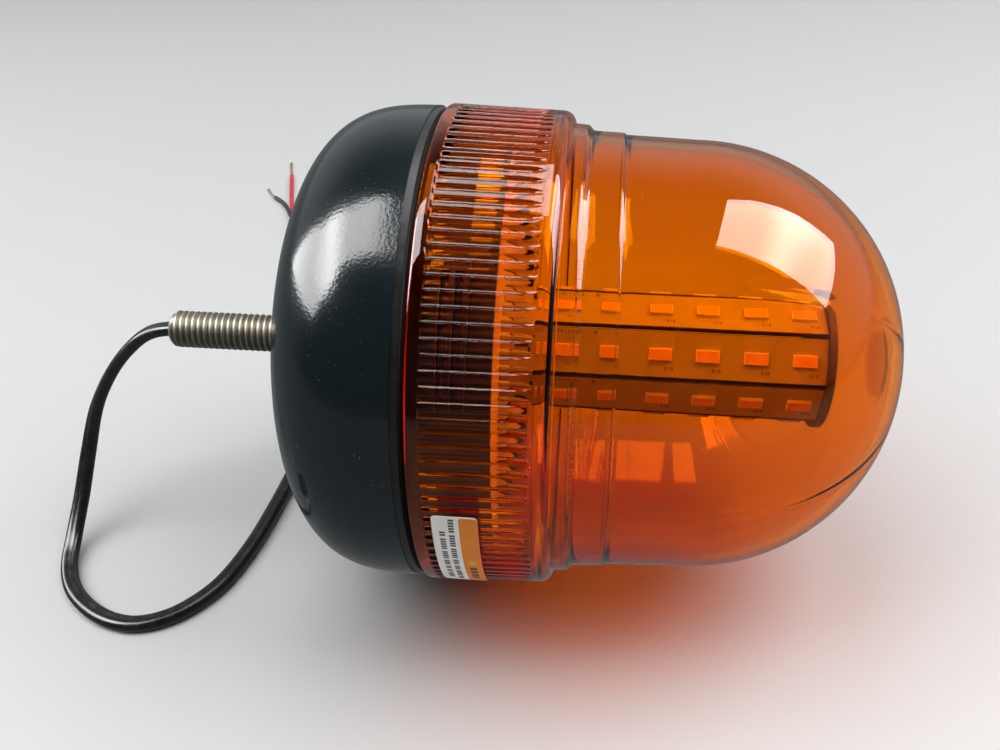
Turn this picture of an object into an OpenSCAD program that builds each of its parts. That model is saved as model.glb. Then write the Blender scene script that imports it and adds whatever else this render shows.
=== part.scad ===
// Amber LED warning beacon with one hollow threaded mounting stud.
//
// Frame: +X runs along the beacon's axis, from the stud to the top of the dome.
// The origin is the centre of the flat mounting face, and +Z is up as the beacon
// lies on its side. Angles around the axis are measured from +Y towards +Z.

/* [Base] */
// Radius of the base at its rim
base_r = 60.4; // [58:0.2:60.6]
// Depth of the base, from the mounting face to the rim
base_depth = 35.4; // [34.4:0.2:35.4]
// Squareness of the base's rounded shoulder, 2 is an ellipse
base_power = 3.1; // [2.4:0.1:3.6]
// Thickness of the base's wall
base_wall = 2.8; // [2:0.1:3.4]
// Radius of the flat mounting face
face_r = 24; // [20:1:28]
// Thickness of the base where the stud goes through
boss_height = 5.8; // [5:0.1:7]

/* [Neck] */
// Outer radius of the neck that the lens locks onto
neck_r = 53.2; // [52:0.2:53.2]
// Where the neck ends, from the mounting face
neck_end = 55.8; // [54:0.2:56]
// Number of sets of locking ridges around the neck
lock_sets = 4; // [3:1:4]
// Arc of each locking ridge, degrees
ridge_arc = 32; // [24:1:32]

/* [Lens] */
// Where the lens starts, from the mounting face
lens_start = 38.5; // [38.4:0.1:38.8]
// Radius of the lens at its flange
flange_r = 60.9; // [60.6:0.1:61.4]
// Thickness of the lens wall
lens_wall = 2.4; // [2:0.1:2.6]
// Number of ribs inside the dome
dome_ribs = 6; // [4:1:8]

/* [Stud and cable] */
// Outer radius of the hollow stud, M10
stud_r = 5; // [4:0.5:6]
// Length of stud outside the base
stud_length = 37.8; // [30:0.1:45]
// Radius of the stud's bore
bore_r = 2.7; // [2.6:0.1:3]
// Width of the flat twin cable
cable_w = 4.6; // [3.8:0.1:4.8]
// Thickness of the flat twin cable
cable_t = 3.3; // [2.6:0.1:3.6]
// Diameter of one insulated core
core_d = 1.9; // [1.4:0.1:2]
// Diameter of the bare twisted strands
strand_d = 1.1; // [0.8:0.1:1.3]

/* [LED tower] */
// Distance from the axis to the front face of an LED strip
tower_r = 15; // [14.6:0.1:16]
// Width of an LED strip
strip_w = 11.2; // [9:0.1:11.2]
// Thickness of an LED strip
strip_t = 1.2; // [0.8:0.1:1.2]
// Where the strips end, from the mounting face
tower_end = 132; // [130:0.5:134]
// Distance between neighbouring LEDs
led_pitch = 11.5; // [8:0.1:11.6]
// Number of LEDs on one strip
leds_per_strip = 6; // [3:1:6]

/* [Hidden] */
$fn = 96;

// Colours
black_paint = [0.07, 0.08, 0.09];
black_plastic = [0.11, 0.11, 0.12];
rubber = [0.05, 0.05, 0.05];
steel = [0.66, 0.65, 0.62];
zinc = [0.78, 0.78, 0.76];
board_white = [0.92, 0.9, 0.84];
led_yellow = [1, 0.86, 0.4];
amber = [0.95, 0.42, 0.04, 0.55];
label_white = [0.95, 0.94, 0.9];
wire_red = [0.8, 0.08, 0.08];
copper = [0.85, 0.62, 0.42];

// Base
shoulder_steps = 16;
recess_x = 14.2;
recess_arc = 9;
recess_w = 3;
recess_floor = 0.93;
recess_angles = [62, 182, 302];
boss_r = 13;
fit = 0.05;
post_r = 4;
post_angles = [30, 150, 270];
post_place = 43.5;
post_top = 30;

// Neck ring
flange_t = 1.6;
flange_end = base_depth + flange_t;
neck_wall = 2.2;
neck_inner = neck_r - neck_wall;
ledge_x = 51.5;
ledge_t = 2;
ledge_inner = 45.4;
ridge_w = 1.1;
ridge_pitch = 3.1;
ridge_first = 43.5;
ridge_h = 2;
ridge_count = 3;
lock_angle = 144;
tab_t = 2.4;
tab_w = 11;

// Seal
seal_t = 1.2;
seal_r = 59.6;
seal_inner = 56.4;

// Lens
lug_arc = 26;
lug_h = 2.4;
socket_r = 56.6;
band_r = 60;
collar_end = 66;
collar_round = 2.9;
step_1_r = 56.8;
step_2_r = 55.2;
dome_start = 82;
dome_r = 54.4;
arc_r = 52;
arc_x = 99.1;
arc_rise = 1.66;
crown_r = 60;
crown_join = 12;
crown_x = arc_x - (crown_r - arc_r) * cos(crown_join);
dome_rib_w = 1.4;
dome_rib_h = 0.4;
dome_rib_angle = 129;
dome_rib_start = 85;
label_start = 183.5;
label_arc = 32.5;
label_x = 43.4;
label_w = 10.2;
label_r = 60.95;
label_t = 0.15;

// Stud
washer_t = 1;
nut_t = 5.5;
nut_flats = 17;
stud_inside = 14.5;
root_step = 0.3;
face_recess = 0.4;

// Boards
driver_x = ledge_x + ledge_t;
driver_t = 1.6;
driver_r = 50.2;
driver_top = driver_x + driver_t;
board_screw_place = 48;
top_t = 1.6;
top_r = 17;
strips = 8;
first_strip_angle = 147;
led_l = 5.7;
led_w = 3;
led_h = 0.9;
first_led_x = 69.1;

// Cable route, from inside the stud to the end of the sheath
inner_cable_from = -12;
inner_cable_to = 18.5;
floor_z = -flange_r;
cable_z = floor_z + cable_t / 2 + 0.05;
core_z = floor_z + core_d / 2;
strand_z = floor_z + strand_d / 2;
cable_route = [[inner_cable_from, 0, 0], [-24, 0, 0], [-37.8, 0, 0], [-45.5, 0, -2], [-53, -0.5, -8],
    [-60, -1.5, -16.5], [-65.5, -4, -26.5], [-68.6, -9, -38], [-70, -17, -49],
    [-70, -26, -56.3], [-67.5, -35.5, cable_z + 0.25], [-61.5, -44, cable_z], [-52, -50.5, cable_z],
    [-42.5, -52.8, cable_z], [-34.5, -50.5, cable_z], [-28, -45, cable_z],
    [-22.5, -36, cable_z], [-19, -22.5, cable_z], [-17.2, -8, cable_z], [-16, 10, cable_z],
    [-16, 30, cable_z], [-18.5, 55, cable_z], [-24, 82, cable_z], [-32.5, 110, cable_z],
    [-43.5, 138, cable_z], [-55.5, 163, cable_z], [-68, 186, cable_z]];
red_route = [[-67.15, 186.6, core_z], [-69.1, 190.1, core_z], [-71.7, 196, core_z],
    [-75, 206, core_z], [-78.5, 218, core_z], [-82, 230, core_z]];
black_route = [[-68.95, 185.65, core_z], [-70.9, 189.1, core_z], [-73.6, 194.2, core_z],
    [-77.4, 199.6, core_z], [-82.5, 204.5, core_z]];
red_strand_route = [[-82.1, 230.3, strand_z], [-84.6, 238, strand_z], [-87, 246, strand_z]];
black_strand_route = [[-82.75, 204.75, strand_z], [-86, 209, strand_z], [-89.5, 214.5, strand_z]];
inner_red_route = [[inner_cable_to + 0.15, 0, 1], [21, 0.2, 1.2], [26, 4, 3.5], [32, 11, 7],
    [38, 18.5, 12.5], [driver_x - 3, 22.6, 15.7], [driver_x - 0.15, 23, 16]];
inner_black_route = [[inner_cable_to + 0.15, 0, -1], [21, 0.2, -1.2], [26, 3.5, -3], [32, 10, -4.5],
    [38, 17, -5.6], [driver_x - 3, 21.6, -6.4], [driver_x - 0.15, 22, -6.5]];

// Shapes about the X axis are drawn about Z and turned onto X, with angle 0 along +Y.
module along_x() { multmatrix([[0, 0, 1, 0], [1, 0, 0, 0], [0, 1, 0, 0]]) children(); }

// An upright child in a frame at angle a, with its x axis pointing outwards.
module at_angle(a) { rotate([0, 0, a]) children(); }

// Solid of revolution from points [distance along the axis, radius]
module turned(points) { rotate_extrude() polygon([for (p = points) [p[1], p[0]]]); }

// Part of a ring, from angle a over arc degrees
module ring_part(inner, outer, from, thick, a, arc) {
    at_angle(a) translate([0, 0, from])
        rotate_extrude(angle = arc) translate([inner, 0]) square([outer - inner, thick]);
}

// Points on the rounded shoulder around a flat face, from the face to the rim
function shoulder(depth, radius, from) = concat([[from, face_r]],
    [for (i = [0 : shoulder_steps])
        let (a = 90 - 90 * i / shoulder_steps,
            x = from + (depth - from) * (1 - pow(sin(a), 2 / base_power)),
            r = radius * pow(cos(a), 2 / base_power))
        if (r > face_r + 2) [x, r]]);

// Points along a Catmull-Rom curve through p
function curve_point(p, i, u) = let (
    a = p[max(i - 1, 0)], b = p[i], c = p[i + 1], d = p[min(i + 2, len(p) - 1)])
    0.5 * ((2 * b) + (c - a) * u + (2 * a - 5 * b + 4 * c - d) * u * u
        + (3 * b - a - 3 * c + d) * u * u * u);
function curve(p, n) = concat([for (i = [0 : len(p) - 2], k = [0 : n - 1])
    curve_point(p, i, k / n)], [p[len(p) - 1]]);
function unit(v) = v / norm(v);
function tangent(p, i) = unit(p[min(i + 1, len(p) - 1)] - p[max(i - 1, 0)]);

// Tube of oval section w by t swept along a route
module tube(route, w, t, steps, sides = 8) {
    p = curve(route, steps);
    n = len(p);
    rings = [for (i = [0 : n - 1])
        let (along = tangent(p, i), side = unit(cross([0, 0, 1], along)), up = cross(along, side))
        for (k = [0 : sides - 1])
            let (a = 360 * k / sides)
            p[i] + side * cos(a) * w / 2 + up * sin(a) * t / 2];
    walls = [for (i = [0 : n - 2], k = [0 : sides - 1])
        let (j = (k + 1) % sides)
        each [[i * sides + k, (i + 1) * sides + k, (i + 1) * sides + j],
              [i * sides + k, (i + 1) * sides + j, i * sides + j]]];
    start = [for (k = [0 : sides - 1]) k];
    end = [for (k = [0 : sides - 1]) (n - 1) * sides + sides - 1 - k];
    polyhedron(rings, concat(walls, [start, end]));
}

module screw_posts() {
    for (a = post_angles) at_angle(a) translate([post_place, 0, 0])
        cylinder(r = post_r, h = post_top, $fn = 48);
}

module base_housing() {
    inner_depth = base_depth + 1;
    color(black_paint) along_x() difference() {
        turned(concat([[base_depth, 0], [0, 0]], shoulder(base_depth, base_r, 0)));
        difference() {
            turned(concat([[inner_depth, 0], [base_wall, 0]],
                shoulder(inner_depth, base_r - base_wall, base_wall)));
            cylinder(r = boss_r, h = boss_height);
            screw_posts();
        }
        translate([0, 0, -1]) cylinder(r = stud_r - root_step + fit, h = boss_height + 2);
        translate([0, 0, -1]) cylinder(r = stud_r + fit, h = 1 + face_recess);
        for (a = post_angles) at_angle(a) translate([post_place, 0, post_top - 16])
            cylinder(r = 1.25, h = 17, $fn = 32);
        for (a = recess_angles)
            ring_part(base_r * recess_floor, base_r + 2, recess_x - recess_w / 2, recess_w,
                a - recess_arc / 2, recess_arc);
    }
}

module neck_ring() {
    ridge_r = neck_r + ridge_h;
    color(black_plastic) along_x() difference() {
        union() {
            turned([[base_depth, neck_inner], [base_depth, base_r - 0.4], [flange_end, base_r - 0.7],
                [flange_end, neck_r], [neck_end, neck_r], [neck_end, neck_inner],
                [ledge_x + ledge_t, neck_inner], [ledge_x + ledge_t, ledge_inner],
                [ledge_x, ledge_inner], [ledge_x - 3, neck_inner]]);
            turned([[post_top, neck_inner], [post_top, base_r - base_wall - 4],
                [base_depth, base_r - base_wall - 4], [base_depth, neck_inner]]);
            for (a = post_angles) at_angle(a) translate([post_place - 5, -tab_w / 2, post_top])
                cube([neck_inner - post_place + 6, tab_w, tab_t]);
            for (s = [0 : lock_sets - 1], i = [0 : ridge_count - 1])
                ring_part(neck_r - 0.5, ridge_r, ridge_first - ridge_w / 2 + i * ridge_pitch,
                    ridge_w, lock_angle + s * 360 / lock_sets - ridge_arc / 2, ridge_arc);
            for (s = [0 : lock_sets - 1])
                ring_part(neck_r - 0.5, ridge_r, ridge_first - ridge_w / 2,
                    (ridge_count - 1) * ridge_pitch + ridge_w,
                    lock_angle + s * 360 / lock_sets - ridge_arc / 2, 1.6);
        }
        for (a = post_angles) at_angle(a) translate([post_place, 0, post_top - 1])
            cylinder(r = 1.7, h = tab_t + 2, $fn = 32);
        for (a = post_angles) at_angle(a + 60) translate([board_screw_place, 0, ledge_x - 2])
            cylinder(r = 1.05, h = ledge_t + 4, $fn = 32);
    }
}

// Pan-head screw along Z, with its head's underside at z = 0
module screw(shank_r, head_r, head_h, length) {
    difference() {
        union() {
            translate([0, 0, -length]) cylinder(r = shank_r, h = length + 0.1, $fn = 32);
            cylinder(r1 = head_r, r2 = head_r * 0.72, h = head_h, $fn = 32);
        }
        for (a = [0, 90]) rotate([0, 0, a]) translate([-head_r * 0.55, -0.35, head_h * 0.45])
            cube([head_r * 1.1, 0.7, head_h]);
    }
}

module neck_screws() {
    color(zinc) along_x() for (a = post_angles)
        at_angle(a) translate([post_place, 0, post_top + tab_t]) screw(1.2, 2.8, 2, 12);
}

module board_screws() {
    color(zinc) along_x() for (a = post_angles)
        at_angle(a + 60) translate([board_screw_place, 0, driver_top]) screw(1, 2, 1.6, 4.6);
}

module lens_seal() {
    color(rubber) along_x() turned([[flange_end, seal_inner], [flange_end, seal_r],
        [flange_end + seal_t * 0.5, seal_r + 0.3], [flange_end + seal_t, seal_r],
        [flange_end + seal_t, seal_inner]]);
}

module mounting_stud() {
    color(steel) along_x() difference() {
        union() {
            translate([0, 0, -stud_length]) cylinder(r = stud_r, h = stud_length);
            translate([0, 0, -1]) cylinder(r = stud_r - root_step, h = stud_inside + 1);
        }
        translate([0, 0, -stud_length - 1]) cylinder(r = bore_r, h = stud_length + stud_inside + 2);
    }
}

module stud_washer() {
    color(zinc) along_x() translate([0, 0, boss_height]) difference() {
        cylinder(r = 10, h = washer_t);
        translate([0, 0, -1]) cylinder(r = stud_r - root_step + fit, h = washer_t + 2);
    }
}

module stud_nut() {
    color(zinc) along_x() translate([0, 0, boss_height + washer_t]) difference() {
        cylinder(r = nut_flats / 2 / cos(30), h = nut_t, $fn = 6);
        translate([0, 0, -1]) cylinder(r = stud_r - root_step + fit, h = nut_t + 2);
    }
}

module driver_board() {
    color(board_white) along_x() translate([0, 0, driver_x]) difference() {
        cylinder(r = driver_r, h = driver_t);
        for (a = post_angles) at_angle(a + 60) translate([board_screw_place, 0, -1])
            cylinder(r = 1.2, h = driver_t + 2, $fn = 32);
    }
}

module inductor() {
    color(rubber) along_x() translate([-22, 14, driver_x - 9]) cylinder(r = 7, h = 9, $fn = 48);
}

module capacitors() {
    color(black_plastic) along_x() for (y = [-16, 0])
        translate([-26, y - 8, driver_x - 12]) cylinder(r = 5, h = 12, $fn = 48);
}

module regulator_chip() {
    color(rubber) along_x() translate([-4, 22, driver_x - 4.6]) cube([10, 9, 4.6]);
}

module diodes() {
    color(rubber) along_x() for (i = [0 : 3])
        translate([-8 + i * 7, -31, driver_x - 2.4]) cube([3.6, 6, 2.4]);
}

module strip_frame(i) {
    along_x() at_angle(first_strip_angle + (i - 1) * 360 / strips) children();
}

module led_strip(i) {
    color(board_white) strip_frame(i) translate([tower_r - strip_t, -strip_w / 2, driver_top])
        cube([strip_t, strip_w, tower_end - driver_top]);
}

module strip_leds(i) {
    color(led_yellow) strip_frame(i) for (k = [0 : leds_per_strip - 1])
        translate([tower_r, -led_w / 2, first_led_x + k * led_pitch - led_l / 2])
            cube([led_h, led_w, led_l]);
}

module top_board() {
    color(board_white) along_x() translate([0, 0, tower_end]) cylinder(r = top_r, h = top_t);
}

module top_leds() {
    color(led_yellow) along_x() translate([0, 0, tower_end + top_t]) {
        translate([-led_l / 2, -led_w / 2, 0]) cube([led_l, led_w, led_h]);
        for (a = [0 : 90 : 270]) at_angle(first_strip_angle + a)
            translate([10 - led_w / 2, -led_l / 2, 0]) cube([led_w, led_l, led_h]);
    }
}

// Dome from its straight wall to the pole, with the wall moved in by inset
function dome_points(inset) = concat(
    [[dome_start, dome_r - inset]],
    [for (a = [90 : -6 : crown_join + 6])
        [arc_x + (arc_r - inset) * cos(a), arc_rise + (arc_r - inset) * sin(a)]],
    [for (a = [crown_join : -3 : 0])
        [crown_x + (crown_r - inset) * cos(a), (crown_r - inset) * sin(a)]]);

// Edge of a rib inside the dome, as [radius, distance], down to the radius where it stops
function rib_line(inset, stop) = concat([[dome_r - 0.1 - inset, dome_rib_start]],
    [for (p = dome_points(inset)) if (p[0] > dome_rib_start && p[1] > stop) [p[1], p[0]]]);
function reversed(list) = [for (i = [len(list) - 1 : -1 : 0]) list[i]];

module lens() {
    color(amber) along_x() {
        difference() {
            turned(concat([[lens_start, 0], [lens_start, flange_r - 0.6],
                [lens_start + 0.6, flange_r], [collar_end, band_r - 0.2]],
                [for (a = [75 : -15 : 0]) [collar_end + collar_round * cos(a),
                    band_r - 0.2 - collar_round + collar_round * sin(a)]],
                [[collar_end + collar_round, step_1_r], [72.4, step_1_r - 0.3],
                [73.7, step_2_r], [81, step_2_r - 0.4]],
                dome_points(0)));
            turned(concat([[lens_start - 1, 0], [lens_start - 1, socket_r], [58, socket_r],
                [64.6, socket_r - 0.2], [67, socket_r - 2.1], [72, step_1_r - 0.3 - lens_wall],
                [74, step_2_r - lens_wall], [81, step_2_r - lens_wall - 0.4]],
                dome_points(lens_wall)));
        }
        for (s = [0 : lock_sets - 1], i = [0 : ridge_count - 2])
            ring_part(socket_r - lug_h, socket_r + 0.5,
                ridge_first + ridge_pitch / 2 - ridge_w / 2 + i * ridge_pitch, ridge_w,
                lock_angle + s * 360 / lock_sets - lug_arc / 2, lug_arc);
        for (s = [0 : dome_ribs - 1]) at_angle(dome_rib_angle + s * 360 / dome_ribs)
            rotate([90, 0, 0]) translate([0, 0, -dome_rib_w / 2]) linear_extrude(dome_rib_w)
                polygon(concat(rib_line(lens_wall - 0.4, 9),
                    reversed(rib_line(lens_wall + dome_rib_h, 8))));
    }
}

module lens_label() {
    color(label_white) along_x()
        ring_part(label_r, label_r + label_t, label_x, label_w, label_start, label_arc);
}

module inner_cable() {
    color(rubber) along_x() translate([0, 0, inner_cable_from])
        linear_extrude(inner_cable_to - inner_cable_from)
            scale([1, cable_t / cable_w]) circle(d = cable_w, $fn = 12);
}

module inner_red_wire() { color(wire_red) tube(inner_red_route, core_d, core_d, 2); }
module inner_black_wire() { color(rubber) tube(inner_black_route, core_d, core_d, 2); }
module cable() { color(rubber) tube(cable_route, cable_w, cable_t, 2); }
module red_wire() { color(wire_red) tube(red_route, core_d, core_d, 2); }
module black_wire() { color(rubber) tube(black_route, core_d, core_d, 2); }
module red_strands() { color(copper) tube(red_strand_route, strand_d, strand_d, 2); }
module black_strands() { color(copper) tube(black_strand_route, strand_d, strand_d, 2); }

base_housing();
neck_ring();
neck_screws();
lens_seal();
mounting_stud();
stud_washer();
stud_nut();
driver_board();
board_screws();
inductor();
capacitors();
regulator_chip();
diodes();
for (i = [1 : strips]) {
    led_strip(i);
    strip_leds(i);
}
top_board();
top_leds();
lens();
lens_label();
inner_cable();
inner_red_wire();
inner_black_wire();
cable();
red_wire();
black_wire();
red_strands();
black_strands();
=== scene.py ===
"""Amber LED warning beacon lying on its side on a pale floor, with its two-core cable."""
import bmesh
import bpy
import math
import random
from mathutils import Matrix, Vector


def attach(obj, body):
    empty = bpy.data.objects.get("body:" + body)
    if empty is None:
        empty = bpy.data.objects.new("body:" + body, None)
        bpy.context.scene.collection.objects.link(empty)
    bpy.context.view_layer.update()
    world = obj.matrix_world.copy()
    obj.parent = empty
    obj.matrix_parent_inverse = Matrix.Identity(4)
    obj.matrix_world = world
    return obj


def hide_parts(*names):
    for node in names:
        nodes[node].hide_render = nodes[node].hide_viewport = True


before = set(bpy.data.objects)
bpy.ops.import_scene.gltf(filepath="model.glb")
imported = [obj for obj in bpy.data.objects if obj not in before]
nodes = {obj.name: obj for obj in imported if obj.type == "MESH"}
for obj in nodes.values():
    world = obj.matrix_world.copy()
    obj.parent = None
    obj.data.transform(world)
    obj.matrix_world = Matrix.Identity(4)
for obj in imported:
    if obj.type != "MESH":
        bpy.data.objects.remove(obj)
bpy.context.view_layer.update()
scene = bpy.context.scene
MM = 0.001
random.seed(11)

# ---------------------------------------------------------------- camera
CAMERA_AT = Vector((0.07818, -0.20839, 0.14214))
CAMERA_AIM = Vector((0.0514, 0, -0.0098))
CAMERA_ROLL = math.radians(1.24)

camera = bpy.data.objects.new("camera", bpy.data.cameras.new("camera"))
scene.collection.objects.link(camera)
camera.data.lens = 34.73
camera.data.sensor_width = 36
forward = (CAMERA_AIM - CAMERA_AT).normalized()
right = forward.cross(Vector((0, 0, 1))).normalized()
up = right.cross(forward)
right, up = (right * math.cos(CAMERA_ROLL) - up * math.sin(CAMERA_ROLL),
             up * math.cos(CAMERA_ROLL) + right * math.sin(CAMERA_ROLL))
camera.matrix_world = Matrix.Translation(CAMERA_AT) @ Matrix(
    (right, up, -forward)).transposed().to_4x4()
camera.data.clip_start = 0.005
scene.camera = camera
scene.view_settings.view_transform = "Standard"

# ---------------------------------------------------------------- sizes, in mm and degrees
FLOOR = -60.9
# Stud
STUD_R = 5
STUD_TIP = -37.8
BORE_R = 2.7
PITCH = 1.65
TURNS = range(-26, 3)
CHAMFER = 1.5
THREAD_END = 1.2
# Base
BASE_R = 60.4
BASE_DEPTH = 35.4
BASE_POWER = 3.1
FACE_R = 24
RECESSES = [62, 182, 302]
RECESS_X = 14.2
RECESS_AT_R = 54
RECESS_HALF_LENGTH = 2.2
RECESS_HALF_WIDTH = 1.6
RECESS_SLOPE = 1.5
RECESS_DEPTH = 0.85
# Lens: flange and collar
LENS_START = 38.5
FLANGE_R = 60.9
COLLAR_END = 66
COLLAR_R = 59.8
COLLAR_ROUND = 2.9
FLUTES = 116
FLUTE_START = 41.4
FLUTE_STRAIGHT = 59.5
FLUTE_END = 64.7
FLUTE_DEPTH = 0.65
FLUTE_HALF = 1.05
EDGE_R = 0.2
# Lens: points (x, r) over the two steps outside, then over the socket's end inside
STEPS = [(68.92, 56.8), (69.2, 56.78), (71.8, 56.57), (72.1, 56.53), (72.5, 56.33), (73.4, 55.37),
         (73.75, 55.21), (74.1, 55.18), (77, 55.02), (80.5, 54.87), (80.8, 54.85), (81.1, 54.75),
         (81.45, 54.44), (81.8, 54.38), (82.2, 54.36), (82.6, 54.345), (90, 54.05)]
SOCKET_END = [(79.5, 52.48), (76, 52.65), (74, 52.8), (73.4, 53.0), (72.2, 53.9), (71.8, 54.05),
              (69, 54.2), (67.4, 54.3), (67.0, 54.42), (66.85, 54.7), (66.6, 55.3), (66.1, 55.85),
              (65.4, 56.2), (64.6, 56.38), (63.6, 56.42), (58, 56.5)]
SOCKET_R = 56.6
SOCKET_START = 57.6
# Lens: locking lugs inside the socket
LUG_STARTS = [131, 221, 311, 401]
LUG_ARC = 26
LUG_EDGE = 0.12
LUG_HEIGHT = 2.4
LUG_ROWS = [(47.6, 48.7), (44.5, 45.6)]
# Lens: dome, an arc and a flatter crown
WALL = 2.4
ARC_X = 99.1
ARC_LIFT = 1.66
ARC_R = 52
CROWN_R = 60
CROWN_JOIN = 12
DOME_ROWS = 52
FINE_R = 16
HUB_R = 9
RIB_ANGLE = 129
RIB_COUNT = 6
RIB_HALF = 0.7
RIB_HEIGHT = 0.06
RIB_START = 85
# Label: from its corner, along the axis and around the collar
LABEL_R = 60.93
LABEL_X = 43.4
LABEL_ANGLE = 183.5
LABEL_W = 10.2
LABEL_L = math.radians(32.5) * LABEL_R
# Cable, cores and strands
CABLE_W = 4.6
CABLE_T = 3.3
CABLE_STEPS = 8
CORE_D = 1.9
STRAND_R = 0.17
CABLE_Z = FLOOR + CABLE_T / 2 + 0.05
CORE_Z = FLOOR + CORE_D / 2
STRAND_Z = FLOOR + 0.55
# Tower: boards, and each LED's length, width and height
STRIPS = 8
FIRST_STRIP = 147
STRIP_R = 15
STRIP_W = 10.9
DRIVER_TOP = 55.1
TOWER_END = 132
TOP_FACE = 133.6
TOP_LED_R = 10
LED_X = [69.1 + 11.5 * k for k in range(6)]
LED_BODY = (5.7, 3.0, 0.86)
LED_BEVEL = 0.12
LED_WINDOW = (5.2, 2.55, 0.04)
PRINT_T = 0.02
FLOOR_HALF = 3.0


# ---------------------------------------------------------------- materials
def tree(name):
    """A new material, its node tree and its Principled shader."""
    m = bpy.data.materials.new(name)
    m.use_nodes = True
    return m, m.node_tree, m.node_tree.nodes["Principled BSDF"]


def noise(nt, scale, detail, stretch=(1, 1, 1)):
    """Noise over the object's own place, so that it doesn't swim when a body moves."""
    place = nt.nodes.new("ShaderNodeTexCoord")
    mapping = nt.nodes.new("ShaderNodeMapping")
    mapping.inputs["Scale"].default_value = stretch
    texture = nt.nodes.new("ShaderNodeTexNoise")
    texture.inputs["Scale"].default_value = scale
    texture.inputs["Detail"].default_value = detail
    nt.links.new(place.outputs["Object"], mapping.inputs["Vector"])
    nt.links.new(mapping.outputs["Vector"], texture.inputs["Vector"])
    return texture.outputs["Fac"]


def spread(nt, value, low, high, start=0.3, end=0.7):
    """value from start to end mapped onto low to high."""
    node = nt.nodes.new("ShaderNodeMapRange")
    for key, number in (("From Min", start), ("From Max", end), ("To Min", low), ("To Max", high)):
        node.inputs[key].default_value = number
    nt.links.new(value, node.inputs["Value"])
    return node.outputs["Result"]


def mixed(nt, factor, one, two):
    """A colour that goes from one to two with factor. Each is three numbers or a node's output."""
    node = nt.nodes.new("ShaderNodeMix")
    node.data_type = "RGBA"
    for socket, colour in ((node.inputs[6], one), (node.inputs[7], two)):
        if isinstance(colour, tuple):
            socket.default_value = (*colour, 1)
        else:
            nt.links.new(colour, socket)
    nt.links.new(factor, node.inputs[0])
    return node.outputs[2]


def maths(nt, operation, one, two=0.0):
    """one and two combined. Each is a number or a node's output."""
    node = nt.nodes.new("ShaderNodeMath")
    node.operation = operation
    for socket, value in zip(node.inputs, (one, two)):
        if isinstance(value, (int, float)):
            socket.default_value = value
        else:
            nt.links.new(value, socket)
    return node.outputs[0]


def place_axes(nt, kind="Object"):
    """The X, Y and Z of the place that is shaded."""
    place = nt.nodes.new("ShaderNodeTexCoord")
    axes = nt.nodes.new("ShaderNodeSeparateXYZ")
    nt.links.new(place.outputs[kind], axes.inputs[0])
    return axes.outputs


def bump(nt, bsdf, height, distance, strength=1.0):
    """Raises the shaded surface where height is high."""
    node = nt.nodes.new("ShaderNodeBump")
    node.inputs["Distance"].default_value = distance
    node.inputs["Strength"].default_value = strength
    nt.links.new(height, node.inputs["Height"])
    nt.links.new(node.outputs["Normal"], bsdf.inputs["Normal"])


def finish(name, one, two, rough, metal=0.0, scale=300.0, bumps=0.0, ior=1.5,
           stretch=(1, 1, 1)):
    """A plain finish with small differences of colour and roughness."""
    m, nt, bsdf = tree(name)
    texture = noise(nt, scale, 3.0, stretch)
    nt.links.new(mixed(nt, spread(nt, texture, 0, 1), one, two), bsdf.inputs["Base Color"])
    nt.links.new(spread(nt, texture, rough[0], rough[1]), bsdf.inputs["Roughness"])
    bsdf.inputs["Metallic"].default_value = metal
    bsdf.inputs["IOR"].default_value = ior
    if bumps:
        bump(nt, bsdf, texture, bumps)
    return m


def amber_lens():
    """Clear amber plastic, redder where light goes further through it, and darker in a round disc
    at the pole. Lamps shine through it."""
    m, nt, bsdf = tree("amber_lens")
    axes = place_axes(nt)
    reach = maths(nt, "SQRT", maths(nt, "ADD", maths(nt, "POWER", axes["Y"], 2),
                                    maths(nt, "POWER", axes["Z"], 2)))
    # Darker colour in a round disc, about 17 mm across, at the pole.
    dark_pole_disc = maths(nt, "MULTIPLY", spread(nt, reach, 1, 0, 0.0084, 0.009),
                 spread(nt, axes["X"], 0, 1, 0.14, 0.142))
    nt.links.new(mixed(nt, dark_pole_disc, (0.945, 0.55, 0.2), (0.62, 0.25, 0.08)),
                 bsdf.inputs["Base Color"])
    bsdf.inputs["Transmission Weight"].default_value = 1
    bsdf.inputs["IOR"].default_value = 1.5
    texture = noise(nt, 60.0, 2.0)
    nt.links.new(spread(nt, texture, 0.0, 0.015), bsdf.inputs["Roughness"])
    bump(nt, bsdf, texture, 0.00012, 0.25)
    clear = nt.nodes.new("ShaderNodeBsdfTransparent")
    clear.inputs["Color"].default_value = (0.78, 0.63, 0.3, 1)
    path = nt.nodes.new("ShaderNodeLightPath")
    mix = nt.nodes.new("ShaderNodeMixShader")
    output = nt.nodes["Material Output"]
    nt.links.new(path.outputs["Is Shadow Ray"], mix.inputs[0])
    nt.links.new(bsdf.outputs[0], mix.inputs[1])
    nt.links.new(clear.outputs[0], mix.inputs[2])
    nt.links.new(mix.outputs[0], output.inputs["Surface"])
    depth = nt.nodes.new("ShaderNodeVolumeAbsorption")
    depth.inputs["Color"].default_value = (0.988, 0.86, 0.001, 1)
    depth.inputs["Density"].default_value = 883
    nt.links.new(depth.outputs[0], output.inputs["Volume"])
    return m


def painted_base():
    """Black gloss paint with a slight orange peel and a little dust."""
    m, nt, bsdf = tree("base_paint")
    peel = noise(nt, 1300.0, 1.0)
    smear = noise(nt, 45.0, 4.0)
    dust = noise(nt, 2300.0, 1.0)
    specks = spread(nt, dust, 0, 1, 0.745, 0.78)
    nt.links.new(mixed(nt, specks, (0.009, 0.0155, 0.0185), (0.15, 0.15, 0.15)),
                 bsdf.inputs["Base Color"])
    nt.links.new(spread(nt, smear, 0.11, 0.17), bsdf.inputs["Roughness"])
    bump(nt, bsdf, peel, 0.00005, 0.5)
    return m


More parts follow.
